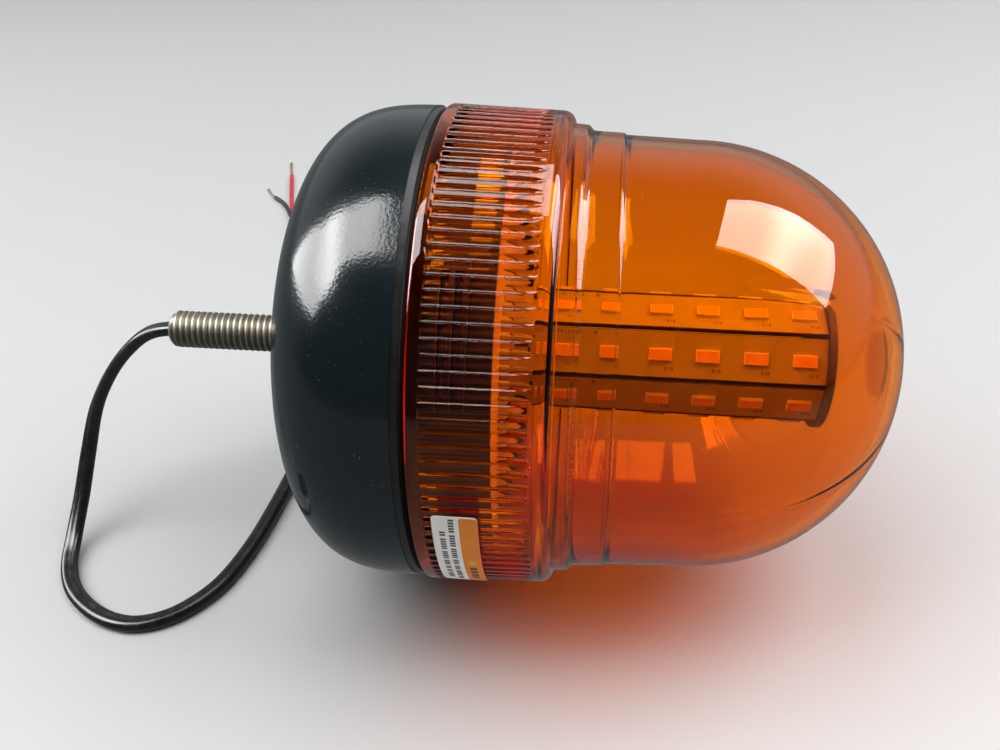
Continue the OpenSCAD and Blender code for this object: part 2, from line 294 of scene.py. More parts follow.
MATERIAL = {
    "base_paint": painted_base(),
    "neck_plastic": finish("neck_plastic", (0.012, 0.012, 0.013), (0.02, 0.02, 0.021),
                           (0.3, 0.42), bumps=0.00003),
    "seal_rubber": finish("seal_rubber", (0.003, 0.003, 0.0033), (0.005, 0.005, 0.005),
                          (0.55, 0.65), bumps=0.00003, ior=1.18),
    "stud_steel": finish("stud_steel", (0.3, 0.28, 0.23), (0.38, 0.36, 0.3), (0.4, 0.5),
                         metal=1.0, scale=240.0, bumps=0.00002, stretch=(4, 1, 1)),
    "zinc": finish("zinc", (0.62, 0.62, 0.6), (0.72, 0.72, 0.7), (0.3, 0.42), metal=1.0),
    "board_pale": finish("board_pale", (0.76, 0.74, 0.68), (0.82, 0.8, 0.74), (0.35, 0.45)),
    "board_white": finish("board_white", (0.4, 0.385, 0.34), (0.46, 0.44, 0.4), (0.32, 0.42),
                          scale=120.0),
    # This near-black board core is painted shade: it colours the boards' edges and backs and a
    # thin border round each mask, where the gaps between the strips lie in shade.
    "board_core_painted_shade": finish("board_core_painted_shade", (0.07, 0.05, 0.03), (0.1, 0.07, 0.04), (0.5, 0.6)),
    "board_print": finish("board_print", (0.16, 0.13, 0.1), (0.24, 0.2, 0.15), (0.4, 0.5)),
    "led_package": finish("led_package", (0.86, 0.83, 0.72), (0.92, 0.89, 0.78), (0.3, 0.4)),
    "phosphor": finish("phosphor", (0.85, 0.44, 0.06), (0.95, 0.5, 0.09), (0.35, 0.45),
                       scale=900.0),
    "amber_lens": amber_lens(),
    "label_white": finish("label_white", (0.9, 0.9, 0.87), (0.95, 0.95, 0.92), (0.4, 0.5)),
    "label_orange": finish("label_orange", (0.92, 0.24, 0.006), (0.98, 0.28, 0.008), (0.4, 0.5)),
    "label_yellow": finish("label_yellow", (0.6, 0.55, 0.04), (0.7, 0.64, 0.05), (0.45, 0.55)),
    "print_grey": finish("print_grey", (0.05, 0.05, 0.055), (0.1, 0.1, 0.1), (0.5, 0.6)),
    "component_black": finish("component_black", (0.02, 0.02, 0.02), (0.04, 0.04, 0.04),
                              (0.4, 0.55)),
    "cable_sheath": finish("cable_sheath", (0.011, 0.012, 0.013), (0.018, 0.019, 0.02),
                           (0.2, 0.28), bumps=0.00002, scale=400.0),
    "red_insulation": finish("red_insulation", (0.6, 0.012, 0.02), (0.7, 0.02, 0.03),
                             (0.25, 0.35)),
    "black_insulation": finish("black_insulation", (0.014, 0.014, 0.015),
                               (0.022, 0.022, 0.023), (0.28, 0.38)),
    "copper_strand": finish("copper_strand", (0.6, 0.4, 0.26), (0.72, 0.55, 0.4),
                            (0.3, 0.42), metal=1.0, scale=900.0),
}


# ---------------------------------------------------------------- mesh helpers
def polar(x, r, a):
    """The point at x along the beacon's axis, r from it, at angle a from +Y towards +Z."""
    a = math.radians(a)
    return (x * MM, r * math.cos(a) * MM, r * math.sin(a) * MM)


def mesh_object(name, points, faces, material, slot, body, stands_for=(), sharp=32.0):
    """A closed, shaded piece that rides on a body and takes its finish from material. Its slot is
    not used.
    """
    mesh = bpy.data.meshes.new(name)
    mesh.from_pydata(points, [], faces)
    bm = bmesh.new()
    bm.from_mesh(mesh)
    bmesh.ops.recalc_face_normals(bm, faces=bm.faces)
    bm.to_mesh(mesh)
    bm.free()
    mesh.polygons.foreach_set("use_smooth", [True] * len(mesh.polygons))
    mesh.set_sharp_from_angle(angle=math.radians(sharp))
    mesh.materials.append(MATERIAL[material])
    piece = bpy.data.objects.new(name, mesh)
    scene.collection.objects.link(piece)
    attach(piece, body)
    if stands_for:
        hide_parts(*stands_for)
    return piece


class Skin:
    """Rings around the beacon's axis, joined in turn, in mm and degrees."""

    def __init__(self):
        self.points, self.faces, self.last, self.first = [], [], None, None

    def ring(self, x, r, angles):
        """Adds a ring and joins it to the last one. x and r are numbers or one for each angle."""
        start = len(self.points)
        for i, a in enumerate(angles):
            self.points.append(polar(x[i] if isinstance(x, list) else x,
                                     r[i] if isinstance(r, list) else r, a))
        ring = (list(range(start, start + len(angles))), list(angles))
        if self.last:
            self.join(self.last, ring)
        else:
            self.first = ring
        self.last = ring
        return ring

    def join(self, one, two):
        """Faces between two rings, whose angles may differ."""
        (a, at_a), (b, at_b) = one, two
        at_a, at_b = at_a + [at_a[0] + 360], at_b + [at_b[0] + 360]
        i = j = 0
        n, m = len(a), len(b)
        while i < n or j < m:
            next_a = at_a[i + 1] if i < n else 1e9
            next_b = at_b[j + 1] if j < m else 1e9
            p, q = a[i % n], b[j % m]
            if i < n and j < m and (n == m or abs(next_a - next_b) < 1e-5):
                self.faces.append((p, a[(i + 1) % n], b[(j + 1) % m], q))
                i, j = i + 1, j + 1
            elif next_a < next_b:
                self.faces.append((p, a[(i + 1) % n], q))
                i += 1
            else:
                self.faces.append((p, b[(j + 1) % m], q))
                j += 1

    def pole(self, x):
        """Closes the last ring with a point on the axis."""
        self.points.append((x * MM, 0, 0))
        ring, tip = self.last[0], len(self.points) - 1
        for k, p in enumerate(ring):
            self.faces.append((p, ring[(k + 1) % len(ring)], tip))
        self.last = None

    def close(self):
        """Joins the last ring to the first one."""
        self.join(self.last, self.first)


def evenly(n):
    """n angles around the axis."""
    return [360 * k / n for k in range(n)]


def curve_through(points, steps):
    """Points along a Catmull-Rom curve through points."""
    out = []
    for i in range(len(points) - 1):
        a, b = points[max(i - 1, 0)], points[i]
        c, d = points[i + 1], points[min(i + 2, len(points) - 1)]
        for k in range(steps):
            u = k / steps
            out.append([0.5 * (2 * b[n] + (c[n] - a[n]) * u
                               + (2 * a[n] - 5 * b[n] + 4 * c[n] - d[n]) * u * u
                               + (3 * b[n] - a[n] - 3 * c[n] + d[n]) * u ** 3)
                        for n in range(3)])
    out.append(list(points[-1]))
    return out


def swept(points, section):
    """Points and faces of a closed section swept along a line, with its width kept level."""
    verts, faces, n = [], [], len(section)
    line = [Vector(p) for p in points]
    side = None
    for i, p in enumerate(line):
        along = (line[min(i + 1, len(line) - 1)] - line[max(i - 1, 0)]).normalized()
        level = Vector((0, 0, 1)).cross(along)
        if level.length > 0.05:
            side = level.normalized()
        side = (side - along * side.dot(along)).normalized()
        over = along.cross(side)
        for u, v in section:
            verts.append((p + side * u + over * v) * MM)
    for i in range(len(line) - 1):
        for k in range(n):
            j = (k + 1) % n
            faces.append((i * n + k, i * n + j, (i + 1) * n + j, (i + 1) * n + k))
    faces.append(tuple(range(n))[::-1])
    faces.append(tuple((len(line) - 1) * n + k for k in range(n)))
    return [tuple(v) for v in verts], faces


def circle(r, n=16):
    """Points around a circle."""
    return [(r * math.cos(2 * math.pi * k / n), r * math.sin(2 * math.pi * k / n))
            for k in range(n)]


def line_length(points):
    """The length of a line through points."""
    return sum((Vector(b) - Vector(a)).length for a, b in zip(points, points[1:]))


# ---------------------------------------------------------------- cable, cores and strands
CABLE_ROUTE = [
    (-30, 0, 0), (-37.8, 0, 0), (-45.5, 0, -2), (-53, -0.5, -8), (-60, -1.5, -16.5),
    (-65.5, -4, -26.5), (-68.6, -9, -38), (-70, -17, -49), (-70, -26, -56.3),
    (-67.5, -35.5, CABLE_Z + 0.25), (-61.5, -44, CABLE_Z), (-52, -50.5, CABLE_Z),
    (-42.5, -52.8, CABLE_Z), (-34.5, -50.5, CABLE_Z), (-28, -45, CABLE_Z),
    (-22.5, -36, CABLE_Z), (-19, -22.5, CABLE_Z), (-17.2, -8, CABLE_Z), (-16, 10, CABLE_Z),
    (-16, 30, CABLE_Z), (-18.5, 55, CABLE_Z), (-24, 82, CABLE_Z), (-32.5, 110, CABLE_Z),
    (-43.5, 138, CABLE_Z), (-55.5, 163, CABLE_Z), (-68, 186, CABLE_Z)]
RED_ROUTE = [(-66.2, 184.85, CORE_Z + 0.1), (-67.15, 186.6, CORE_Z), (-69.1, 190.1, CORE_Z),
             (-71.7, 196, CORE_Z), (-75, 206, CORE_Z), (-78.5, 218, CORE_Z),
             (-82, 230, CORE_Z)]
BLACK_ROUTE = [(-68, 183.9, CORE_Z + 0.1), (-68.95, 185.65, CORE_Z), (-70.9, 189.1, CORE_Z),
               (-73.6, 194.2, CORE_Z), (-77.4, 199.6, CORE_Z), (-82.5, 204.5, CORE_Z)]
RED_TIP = [(-81.4, 228, CORE_Z - 0.1), (-82, 230, CORE_Z - 0.2), (-84.6, 238, STRAND_Z),
           (-86.9, 245.7, STRAND_Z)]
BLACK_TIP = [(-80.6, 202.9, CORE_Z - 0.1), (-82.5, 204.5, CORE_Z - 0.2),
             (-86, 209, STRAND_Z), (-89.15, 214.1, STRAND_Z)]


def twin_section(width, thick, n=15):
    """Outline of two round cores side by side in one sheath, with a groove between them."""
    r = thick / 2
    c = width / 2 - r
    reach = math.acos(-c / r)
    half = [(c + r * math.cos(reach * (2 * k / n - 1)), r * math.sin(reach * (2 * k / n - 1)))
            for k in range(n + 1)]
    return half[:-1] + [(-u, -v) for u, v in half][:-1]


def on_floor(points):
    """The points, with none of them under the surface the beacon lies on."""
    return [(x, y, max(z, FLOOR * MM)) for x, y, z in points]


cable_line = curve_through(CABLE_ROUTE, CABLE_STEPS)
points, faces = swept(cable_line, twin_section(CABLE_W, CABLE_T))
cable = mesh_object("twin_cable", on_floor(points), faces, "cable_sheath", "cable_sheath",
                    "base", ["cable"], sharp=50)

points, faces = swept(curve_through(RED_ROUTE, 6), circle(CORE_D / 2))
red_core = mesh_object("red_core", on_floor(points), faces, "red_insulation",
                       "red_insulation", "base", ["red_wire"])
points, faces = swept(curve_through(BLACK_ROUTE, 6), circle(CORE_D / 2))
black_core = mesh_object("black_core", on_floor(points), faces, "black_insulation",
                         "black_insulation", "base", ["black_wire"])


def twisted(name, route, stands_for):
    """Seven fine wires twisted together, a little loose at the tip."""
    line = [Vector(p) for p in curve_through(route, 8)]
    verts, faces = [], []
    for s in range(7):
        path = []
        for i, p in enumerate(line):
            t = i / (len(line) - 1)
            along = (line[min(i + 1, len(line) - 1)] - line[max(i - 1, 0)]).normalized()
            side = Vector((0, 0, 1)).cross(along).normalized()
            turn = 2 * math.pi * (s / 6 + 2.2 * t)
            out = 0 if s == 6 else 0.33 + (0.16 + 0.1 * (s % 3)) * max(0, t - 0.7) / 0.3
            path.append(p + (side * math.cos(turn) + along.cross(side) * math.sin(turn)) * out)
        more, rows = swept(path, circle(STRAND_R, 7))
        start = len(verts)
        verts += on_floor(more)
        faces += [tuple(i + start for i in row) for row in rows]
    return mesh_object(name, verts, faces, "copper_strand", "copper_strand", "base",
                       stands_for)


red_tip = twisted("red_core_strands", RED_TIP, ["red_strands"])
black_tip = twisted("black_core_strands", BLACK_TIP, ["black_strands"])

# The first stretch of the route is inside the stud.
cable_length = line_length(cable_line[CABLE_STEPS:]) * MM
[[v * MM for v in p] for p in cable_line]


# ---------------------------------------------------------------- base housing
def base_profile():
    """Points (x, r) over the mounting face and the rounded shoulder, closer together around
    the recesses."""
    out = [(0.0, STUD_R + 0.05), (0.0, 12.0), (0.0, FACE_R - 1.2), (0.12, FACE_R)]
    xs = [0.9, 1.3, 1.8, 2.4, 3.1, 4, 5, 6, 7, 8, 9, 10, 11, 11.8]
    xs += [12.2 + 0.2 * k for k in range(21)]
    xs += [17 + k for k in range(15)] + [32, 33, 34, 34.8, BASE_DEPTH]
    for x in xs:
        sine = (1 - x / BASE_DEPTH) ** (BASE_POWER / 2)
        out.append((x, BASE_R * math.sqrt(1 - sine * sine) ** (2 / BASE_POWER)))
    return out


def recess_depth(x, a):
    """How deep the base is pressed in at x and angle a, for its oblong recesses."""
    off = min(abs((a - c + 180) % 360 - 180) for c in RECESSES)
    along = max(math.radians(off) * RECESS_AT_R - RECESS_HALF_LENGTH, 0)
    gap = math.hypot(along, (x - RECESS_X) * 1.25) - RECESS_HALF_WIDTH
    t = min(max(-gap / RECESS_SLOPE, 0), 1)
    return RECESS_DEPTH * t * t * (3 - 2 * t)


def base_housing():
    """The bowl, pressed in at its recesses, with a plain inside."""
    skin = Skin()
    plain = evenly(240)
    angles = sorted({round(a, 4) for a in plain}
                    | {round(c - 7 + 0.35 * k, 4) for c in RECESSES for k in range(41)})
    for x, r in base_profile():
        if 11 < x < 17.2:
            skin.ring([x + 0.35 * recess_depth(x, a) for a in angles],
                      [r - 0.9 * recess_depth(x, a) for a in angles], angles)
        else:
            skin.ring(x, r, angles if 10 < x < 19 else plain)
    inner = [(BASE_DEPTH, BASE_R - 3), (30, BASE_R - 4.4), (20, BASE_R - 7), (8, 44),
             (3.4, 30), (3.4, STUD_R + 0.05)]
    for x, r in inner:
        skin.ring(x, r, plain)
    skin.close()
    return mesh_object("base_shell", skin.points, skin.faces, "base_paint", "base_paint",
                       "base", ["base_housing"])


base_housing()


# ---------------------------------------------------------------- stud
def stud():
    """Threaded hollow stud. Every ring follows the helix, so that the crests stay sharp."""
    skin = Skin()
    angles = evenly(72)
    depth = 0.6134 * PITCH
    form = [(0.0, 0.0), (0.125, 0.0), (0.4375, 1.0), (0.5, 1.06), (0.5625, 1.0),
            (0.875, 0.0)]
    stations = []
    for turn in TURNS:
        for u, d in form:
            stations.append((turn * PITCH + u * PITCH, d * depth))

    def radius(x, r):
        """r, or less where the tip is chamfered."""
        edge = x - STUD_TIP
        return min(r, STUD_R - 1.15 + edge * 0.85) if edge < CHAMFER else r

    start = STUD_TIP + 0.15
    skin.ring(STUD_TIP, BORE_R + 0.25, angles)
    skin.ring(STUD_TIP, STUD_R - 1.25, angles)
    for x, d in stations:
        xs = [x + PITCH * a / 360 for a in angles]
        if xs[-1] < start or xs[0] > THREAD_END:
            continue
        xs = [min(max(v, start), THREAD_END) for v in xs]
        skin.ring(xs, [radius(v, STUD_R - 0.02 - d) for v in xs], angles)
    skin.ring(THREAD_END + 0.05, BORE_R, angles)
    skin.ring(STUD_TIP + 0.3, BORE_R, angles)
    skin.close()
    return mesh_object("threaded_stud", skin.points, skin.faces, "stud_steel", "stud_steel",
                       "base", ["mounting_stud"], sharp=50)


stud()


# ---------------------------------------------------------------- lens
def flute_half(depth):
    """Points (s, cut) over half a flute, from its rounded edge on the land to its middle."""
    tool = (FLUTE_HALF ** 2 + FLUTE_DEPTH ** 2) / (2 * FLUTE_DEPTH)
    centre = math.sqrt(max((tool + EDGE_R) ** 2 - (tool - depth + EDGE_R) ** 2, 1e-6))
    lean = math.asin(centre / (tool + EDGE_R))
    out = [(centre - EDGE_R * math.sin(lean * k / 3),
            EDGE_R * (1 - math.cos(lean * k / 3))) for k in range(4)]
    out += [(tool * math.sin(lean * k / 4), tool * math.cos(lean * k / 4) - tool + depth)
            for k in (3, 2, 1, 0)]
    return out


def flute_ring(skin, x, depth):
    """One ring of the collar, with a sample at each land's middle and fifteen in each flute."""
    r = collar_radius(x)
    turn = 360 / FLUTES
    half = flute_half(depth)
    across = [(-s, cut) for s, cut in half] + half[-2::-1]
    angles, radii = [], []
    for i in range(FLUTES):
        angles.append(i * turn)
        radii.append(r)
        for s, cut in across:
            angles.append((i + 0.5) * turn + math.degrees(s / r))
            radii.append(r - max(cut, 0))
    skin.ring(x, radii, angles)


def collar_radius(x):
    """The collar's radius at x, a little less towards its end."""
    return FLANGE_R + (COLLAR_R - FLANGE_R) * (x - LENS_START - 0.6) / (
        COLLAR_END - LENS_START - 0.6)


def dome_point(inset, t):
    """Point (x, r) of the dome at inset, for t from 0 at its start to 1 at its pole."""
    angle = 90 * (1 - t)
    crown_x = ARC_X - (CROWN_R - ARC_R) * math.cos(math.radians(CROWN_JOIN))
    c, s = math.cos(math.radians(angle)), math.sin(math.radians(angle))
    if angle > CROWN_JOIN:
        return ARC_X + (ARC_R - inset) * c, ARC_LIFT + (ARC_R - inset) * s
    return crown_x + (CROWN_R - inset) * c, (CROWN_R - inset) * s


def rib_samples(r, plain=26):
    """Angles around a ring of the dome's inside, and whether each is on a rib."""
    angles, on = [], []
    inner = math.degrees((RIB_HALF - 0.15) / r)
    outer = math.degrees((RIB_HALF + 0.25) / r)
    for k in range(RIB_COUNT):
        centre = RIB_ANGLE - 120 + k * 360 / RIB_COUNT
        for offset, flag in ((-outer, 0), (-inner, 1), (inner, 1), (outer, 0)):
            angles.append(centre + offset)
            on.append(flag)
        gap = 360 / RIB_COUNT - 2 * outer
        for i in range(1, plain):
            angles.append(centre + outer + gap * i / plain)
            on.append(0)
    return angles, on


def lens_outside():
    """The lens from its end face over the flange, collar, steps and dome to the pole."""
    skin = Skin()
    coarse = evenly(2 * FLUTES)
    for x, r in ((LENS_START, FLANGE_R - 0.6), (LENS_START + 0.18, FLANGE_R - 0.18),
                 (LENS_START + 0.6, FLANGE_R - 0.01),
                 (FLUTE_START - 0.5, collar_radius(FLUTE_START - 0.5))):
        skin.ring(x, r, coarse)
    flute_ring(skin, FLUTE_START, 0.0)
    for x, share in ((FLUTE_START + 0.05, 0.5), (FLUTE_START + 0.25, 0.9),
                     (FLUTE_START + 0.6, 1.0), (50, 1.0), (FLUTE_STRAIGHT, 1.0)):
        flute_ring(skin, x, FLUTE_DEPTH * share)
    for t in (0.22, 0.4, 0.55, 0.67, 0.77, 0.85, 0.91, 0.955, 0.985, 1.0):
        flute_ring(skin, FLUTE_STRAIGHT + (FLUTE_END - FLUTE_STRAIGHT) * t,
                   FLUTE_DEPTH * (1 - t * t))
    for x in (FLUTE_END + 0.15, COLLAR_END - 0.2):
        skin.ring(x, collar_radius(x), coarse)
    skin.ring(COLLAR_END, COLLAR_R, coarse)
    for a in range(10, 100, 10):
        skin.ring(COLLAR_END + COLLAR_ROUND * math.sin(math.radians(a)),
                  COLLAR_R - COLLAR_ROUND + COLLAR_ROUND * math.cos(math.radians(a)), coarse)
    for x, r in STEPS:
        skin.ring(x, r, coarse)
    for k in range(DOME_ROWS):
        x, r = dome_point(0, k / DOME_ROWS)
        skin.ring(x, r, coarse if r > FINE_R else evenly(58))
    skin.pole(dome_point(0, 1)[0])
    return skin


def add_hub(skin):
    """The flat round hub inside the pole, where the ribs meet."""
    x = dome_point(WALL + 0.7, 1)[0]
    angles = rib_samples(HUB_R)[0]
    centre = len(skin.points)
    skin.points.append((x * MM, 0, 0))
    ring = skin.ring(x - 0.35, HUB_R - 0.7, angles)[0]
    for k, p in enumerate(ring):
        skin.faces.append((p, ring[(k + 1) % len(ring)], centre))
    x = dome_point(WALL, 1 - math.degrees(math.asin((HUB_R - 0.3) / (CROWN_R - WALL))) / 90)[0]
    skin.ring(x - 0.5, HUB_R - 0.2, angles)


def add_ribbed_dome(skin):
    """The inside of the dome, from the hub back to where its ribs start, and a little wall."""
    for k in range(DOME_ROWS + 1):
        t = 1 - k / DOME_ROWS
        x, r = dome_point(WALL, t)
        if r < HUB_R + 0.4:
            continue
        angles, on = rib_samples(r)
        ribbed = dome_point(WALL + RIB_HEIGHT, t)
        skin.ring([ribbed[0] if f else x for f in on], [ribbed[1] if f else r for f in on],
                  angles)
    for x, r, share in ((90, 51.64, 1), (RIB_START, 51.8, 1), (RIB_START - 0.1, 51.8, 0),
                        (82.6, 51.93, 0), (82.2, 51.98, 0), (81, 52.4, 0), (80.6, 52.43, 0)):
        angles, on = rib_samples(r)
        skin.ring(x, [r - RIB_HEIGHT * share * f for f in on], angles)


def add_socket(skin):
    """The inside of the steps and collar, with the locking lugs."""
    lug_edges = {round((start + off) % 360, 3) for start in LUG_STARTS
                 for off in (0, LUG_EDGE, LUG_ARC - LUG_EDGE, LUG_ARC)}
    angles = sorted({round(a, 3) for a in evenly(180)} | lug_edges)
    lugged = [SOCKET_R - (LUG_HEIGHT if any(0.1 < (a - start) % 360 < LUG_ARC - 0.1
                                            for start in LUG_STARTS) else 0) for a in angles]
    for x, r in SOCKET_END:
        skin.ring(x, r, angles)
    skin.ring(SOCKET_START, SOCKET_R, angles)
    for low, high in LUG_ROWS:
        skin.ring(high, SOCKET_R, angles)
        skin.ring(high - 0.05, lugged, angles)
        skin.ring(low + 0.05, lugged, angles)
        skin.ring(low, SOCKET_R, angles)
    skin.ring(LENS_START + 0.3, SOCKET_R, angles)
    skin.ring(LENS_START, SOCKET_R + 0.3, angles)


def amber_shell():
    """The whole lens: its outside and its inside, joined at the end face."""
    outside, inside = lens_outside(), Skin()
    inside.points, inside.faces = outside.points, outside.faces
    add_hub(inside)
    add_ribbed_dome(inside)
    add_socket(inside)
    inside.join(outside.first, inside.last)
    return mesh_object("amber_lens_shell", inside.points, inside.faces, "amber_lens",
                       "amber_lens", "lens", ["lens"], sharp=28)


amber_shell()


# ---------------------------------------------------------------- label
def patch(verts, faces, u0, u1, v0, v1, low, high, corner=0.0):
    """A thin curved tile on the collar. u runs along the axis and v around it, in mm."""
    rows = max(2, int((v1 - v0) / 0.8))
    bends = [corner * (1 - math.cos(math.radians(22.5 * k))) for k in range(5)]
    cuts = sorted({round(v0 + bend, 4) for bend in bends}
                  | {round(v1 - bend, 4) for bend in bends}
                  | {round(v0 + (v1 - v0) * k / rows, 4) for k in range(rows + 1)})

    def reach(v):
        """The tile's ends at v, narrower in its rounded corners."""
        near = min(v - v0, v1 - v)
        if near >= corner:
            return u0, u1
        cut = corner - math.sqrt(max(corner ** 2 - (corner - near) ** 2, 0))
        return u0 + cut, u1 - cut

    start = len(verts)
    for v in cuts:
        a = LABEL_ANGLE + math.degrees(v / LABEL_R)
        left, right_end = reach(v)
        for x, r in ((left, low), (right_end, low), (right_end, high), (left, high)):
            verts.append(polar(LABEL_X + x, r, a))
    for i in range(len(cuts) - 1):
        for k in range(4):
            j = (k + 1) % 4
            faces.append((start + 4 * i + k, start + 4 * i + j,
                          start + 4 * i + 4 + j, start + 4 * i + 4 + k))
    last = start + 4 * (len(cuts) - 1)
    faces.append((start + 3, start + 2, start + 1, start))
    faces.append((last, last + 1, last + 2, last + 3))


def label():
    """White label with an orange band, rows of grey bars for its print and a yellow dot."""
    verts, faces = [], []
    patch(verts, faces, 0, LABEL_W, 0, LABEL_L, LABEL_R, LABEL_R + 0.1, corner=1.0)
    mesh_object("label_sheet", verts, faces, "label_white", "label_paper", "lens",
                ["lens_label"])
    verts, faces = [], []
    patch(verts, faces, 6.0, LABEL_W - 0.02, 0.4, LABEL_L - 0.4, LABEL_R + 0.09,
          LABEL_R + 0.115, corner=0.7)
    mesh_object("label_band", verts, faces, "label_orange", "label_paper", "lens")
    verts, faces = [], []
    for u in (4.3, 2.2):
        v = 0.9 if u > 3 else 5.2
        while v < LABEL_L - 3:
            for _ in range(random.choice([2, 3, 4, 5])):
                patch(verts, faces, u - 0.62, u + 0.62, v, v + 0.62, LABEL_R + 0.09,
                      LABEL_R + 0.12)
                v += 0.95
            v += 0.7
    for v in (21.5, 24.0, 26.6, 29.0):
        patch(verts, faces, 7.2, 8.8, v, v + 1.6, LABEL_R + 0.1, LABEL_R + 0.13)
    mesh_object("label_bars", verts, faces, "print_grey", "label_paper", "lens")
    verts, faces = [], []
    patch(verts, faces, 7.1, 8.9, 18.0, 19.8, LABEL_R + 0.1, LABEL_R + 0.13, corner=0.89)
    mesh_object("label_dot", verts, faces, "label_yellow", "label_paper", "lens")


label()


# ---------------------------------------------------------------- LED tower
def strip_point(k, x, across, out):
    """A point on strip k: x along the axis, across the strip, out from its face."""
    a = math.radians(FIRST_STRIP + 45 * k)
    r = STRIP_R + out
    return (x * MM, (r * math.cos(a) - across * math.sin(a)) * MM,
            (r * math.sin(a) + across * math.cos(a)) * MM)


def block(verts, faces, place, x, across, out, length, width, height, bevel=0.0):
    """A block whose top edges may be bevelled, at a place given by a function."""
    start = len(verts)
    for low, inset in ((0.0, 0.0), (height - bevel, 0.0), (height, bevel)):
        for sx, sa in ((-1, -1), (1, -1), (1, 1), (-1, 1)):
            verts.append(place(x + sx * (length / 2 - inset), across + sa * (width / 2 - inset),
                               out + low))
    for row in range(2):
        for i in range(4):
            j = (i + 1) % 4
            faces.append((start + 4 * row + i, start + 4 * row + j,
                          start + 4 * row + 4 + j, start + 4 * row + 4 + i))
    faces.append((start + 3, start + 2, start + 1, start))
    faces.append((start + 8, start + 9, start + 10, start + 11))


def led(frames, windows, place, x):
    """An LED: its pale body, with a bevelled top, and its window of phosphor."""
    length, width, height = LED_BODY
    block(*frames, place, x, 0, 0, length, width, height, LED_BEVEL)
    block(*windows, place, x, 0, height - PRINT_T, *LED_WINDOW)


def strip_details(k):
    """Solder mask, LEDs, printed marks and resistors on the face of strip k."""
    def place(x, across, out):
        return strip_point(k, x, across, out)

    frames, windows, marks, parts, mask = [([], []) for _ in range(5)]
    # The mask is a little narrower and shorter than the strip, so a thin border of the near-black
    # board core shows round it as painted shade.
    block(*mask, place, (DRIVER_TOP + TOWER_END) / 2, 0, 0, TOWER_END - 0.4 - DRIVER_TOP,
          STRIP_W, 0.03)
    for x in LED_X:
        led(frames, windows, place, x)
        for along, length in ((1.6, 0.5), (2.4, 0.25), (3.1, 0.5)):
            block(*marks, place, x + along, 3.4, PRINT_T, length, 0.9, PRINT_T)
    for i in (0, 1, 2, 3, 4, 5, 7, 8, 9):
        block(*marks, place, 64.5 + 1.35 * i, -4.5, PRINT_T, 0.5 if i % 3 else 0.8, 0.9, PRINT_T)
    block(*parts, place, 59.4, 0.6, 0.0, 3.1, 1.5, 0.55, 0.06)
    block(*parts, place, 62.6, -2.8, 0.0, 2.4, 1.3, 0.55, 0.06)
    name = "%d" % (k + 1)
    mesh_object("board_mask_" + name, *mask, "board_white", "board_white", "base", sharp=20)
    mesh_object("led_frames_" + name, *frames, "led_package", "led_package", "base",
                ["strip_leds_" + name], sharp=20)
    mesh_object("led_windows_" + name, *windows, "phosphor", "led_package", "base", sharp=20)
    mesh_object("board_marks_" + name, *marks, "board_print", "component_black", "base",
                sharp=20)
    mesh_object("board_resistors_" + name, *parts, "component_black", "component_black",
                "base", sharp=20)


def top_leds():
    """One LED in the middle of the top board, and four around it."""
    frames, windows = ([], []), ([], [])
    spots = [(0, 0, 0)]
    for a in (147, 237, 327, 417):
        spots.append((TOP_LED_R * math.cos(math.radians(a)),
                      TOP_LED_R * math.sin(math.radians(a)), math.radians(a)))
    for y, z, turn in spots:
        def place(x, across, out, y=y, z=z, turn=turn):
            return ((TOP_FACE + out) * MM,
                    (y - across * math.cos(turn) - x * math.sin(turn)) * MM,
                    (z - across * math.sin(turn) + x * math.cos(turn)) * MM)

        led(frames, windows, place, 0)
    mesh_object("top_led_frames", *frames, "led_package", "led_package", "base", ["top_leds"],
                sharp=20)
    mesh_object("top_led_windows", *windows, "phosphor", "led_package", "base", sharp=20)


for strip in range(STRIPS):
    strip_details(strip)
top_leds()

# ---------------------------------------------------------------- CAD nodes that stay
# The strips and the top board take the near-black board core, painted shade on the boards' edges
# and in the gaps between the strips.
KEPT = {
    "neck_ring": "neck_plastic", "neck_screws": "zinc", "lens_seal": "seal_rubber",
    "stud_washer": "zinc", "stud_nut": "zinc", "driver_board": "board_pale",
    "board_screws": "zinc", "inductor": "component_black", "capacitors": "component_black",
    "regulator_chip": "component_black", "diodes": "component_black",
    "top_board": "board_core_painted_shade", "inner_cable": "cable_sheath",
    "inner_red_wire": "red_insulation", "inner_black_wire": "black_insulation",
}
KEPT.update({"led_strip_%d" % k: "board_core_painted_shade" for k in range(1, STRIPS + 1)})
for node, material in KEPT.items():
    nodes[node].data.materials.clear()
    nodes[node].data.materials.append(MATERIAL[material])


# ---------------------------------------------------------------- stage and light
def floor():
    """Pale paper just under the beacon."""
    mesh = bpy.data.meshes.new("floor")
    z = (FLOOR - 0.02) * MM
    mesh.from_pydata([(x, y, z) for x, y in ((-FLOOR_HALF, -FLOOR_HALF), (FLOOR_HALF, -FLOOR_HALF),
                                             (FLOOR_HALF, FLOOR_HALF), (-FLOOR_HALF, FLOOR_HALF))],
                     [], [(0, 1, 2, 3)])
    m, nt, bsdf = tree("floor_paper")
    texture = noise(nt, 1.5, 2.0)
    nt.links.new(mixed(nt, spread(nt, texture, 0, 1), (0.59, 0.595, 0.595),
                      (0.62, 0.625, 0.625)), bsdf.inputs["Base Color"])
    bsdf.inputs["Roughness"].default_value = 0.55
    mesh.materials.append(m)
    piece = bpy.data.objects.new("floor", mesh)
    scene.collection.objects.link(piece)
    piece.visible_glossy = False


floor()


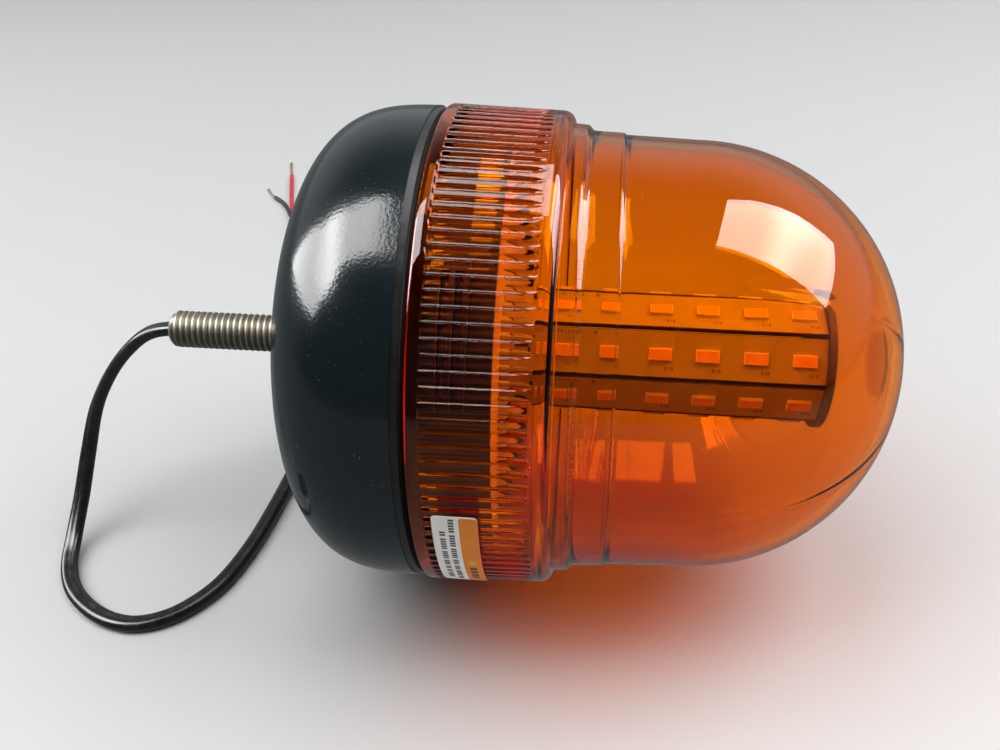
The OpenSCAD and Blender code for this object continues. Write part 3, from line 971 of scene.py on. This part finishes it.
def light_panel(name, points, glow, reflected, peak=None, peak_at=0.0):
    """A row of glowing sheets between pairs of points, in metres. One that is reflected is seen
    in glossy and clear surfaces only, and one that isn't only lights what is dull. It glows
    with peak at x = peak_at, and less away from there."""
    mesh = bpy.data.meshes.new(name)
    mesh.from_pydata([p for pair in points for p in pair], [],
                     [(2 * i, 2 * i + 1, 2 * i + 3, 2 * i + 2) for i in range(len(points) - 1)])
    m = bpy.data.materials.new(name)
    m.use_nodes = True
    nt = m.node_tree
    nt.nodes.remove(nt.nodes["Principled BSDF"])
    light = nt.nodes.new("ShaderNodeEmission")
    light.inputs["Strength"].default_value = glow
    if peak:
        away = maths(nt, "ABSOLUTE", maths(nt, "SUBTRACT", place_axes(nt)["X"], peak_at))
        nt.links.new(spread(nt, away, peak, glow, 0.03, 0.2), light.inputs["Strength"])
    nt.links.new(light.outputs[0], nt.nodes["Material Output"].inputs["Surface"])
    mesh.materials.append(m)
    piece = bpy.data.objects.new(name, mesh)
    scene.collection.objects.link(piece)
    piece.visible_camera = False
    piece.visible_shadow = False
    piece.visible_glossy = piece.visible_transmission = reflected
    piece.visible_diffuse = not reflected


light_panel("window_right", [
    ((0.32, 0, 1.43), (0.41, 0.69, 1.22)), ((0.74, -0.05, 1.29), (0.62, 0.75, 1.1)),
    ((1.11, -0.06, 1.03), (0.95, 0.78, 0.85)), ((1.38, -0.06, 0.64), (1.19, 0.72, 0.56))],
    8.5, True, peak=13, peak_at=0.93)
light_panel("window_middle", [((-0.14, 0.1, 1.42), (-0.14, 0.8, 1.18)),
                              ((0.12, 0.1, 1.42), (0.12, 0.8, 1.18))], 6.5, True)
light_panel("window_left", [
    ((-0.3, -0.43, 1.37), (-0.3, 0.26, 1.38)), ((-0.73, -0.45, 1.15), (-0.67, 0.2, 1.25)),
    ((-0.89, -0.59, 0.95), (-1.04, 0.23, 0.92)), ((-1.17, -0.54, 0.58), (-1.27, 0.49, 0.26)),
    ((-1.33, -0.14, 0.4), (-1.28, 0.55, 0.08))], 10.5, True, peak=20, peak_at=-0.87)
light_panel("light_right", [((0.24, -0.17, 0.9), (0.33, 0.35, 0.9)),
                            ((1.75, -0.25, 0.9), (1.98, 1.35, 0.9))], 3.55, False)
light_panel("light_left", [((0.145, -0.13, 0.9), (0.14, 0.42, 0.9)),
                           ((-1.35, -1.02, 0.9), (-1.5, 0.1, 0.9))], 3.45, False)


def room():
    """Dark overhead and in front, pale low down behind, as the paper is there. What is under
    the horizon shows only in reflections, in place of the floor."""
    world = bpy.data.worlds.new("room")
    world.use_nodes = True
    nt = world.node_tree
    back = nt.nodes["Background"]
    axes = place_axes(nt, "Generated")
    above = maths(nt, "MULTIPLY", spread(nt, axes["Z"], 0, 0.52, -0.05, 0.05),
                  spread(nt, axes["Z"], 1, 0.12, 0.45, 0.8))
    above = maths(nt, "MULTIPLY", above, spread(nt, axes["Y"], 0.08, 1, -0.35, 0.45))
    below = spread(nt, axes["Z"], 0.2, 0, -0.06, 0)
    nt.links.new(maths(nt, "ADD", above, below), back.inputs["Strength"])
    back.inputs["Color"].default_value = (0.94, 0.97, 1, 1)
    scene.world = world


room()
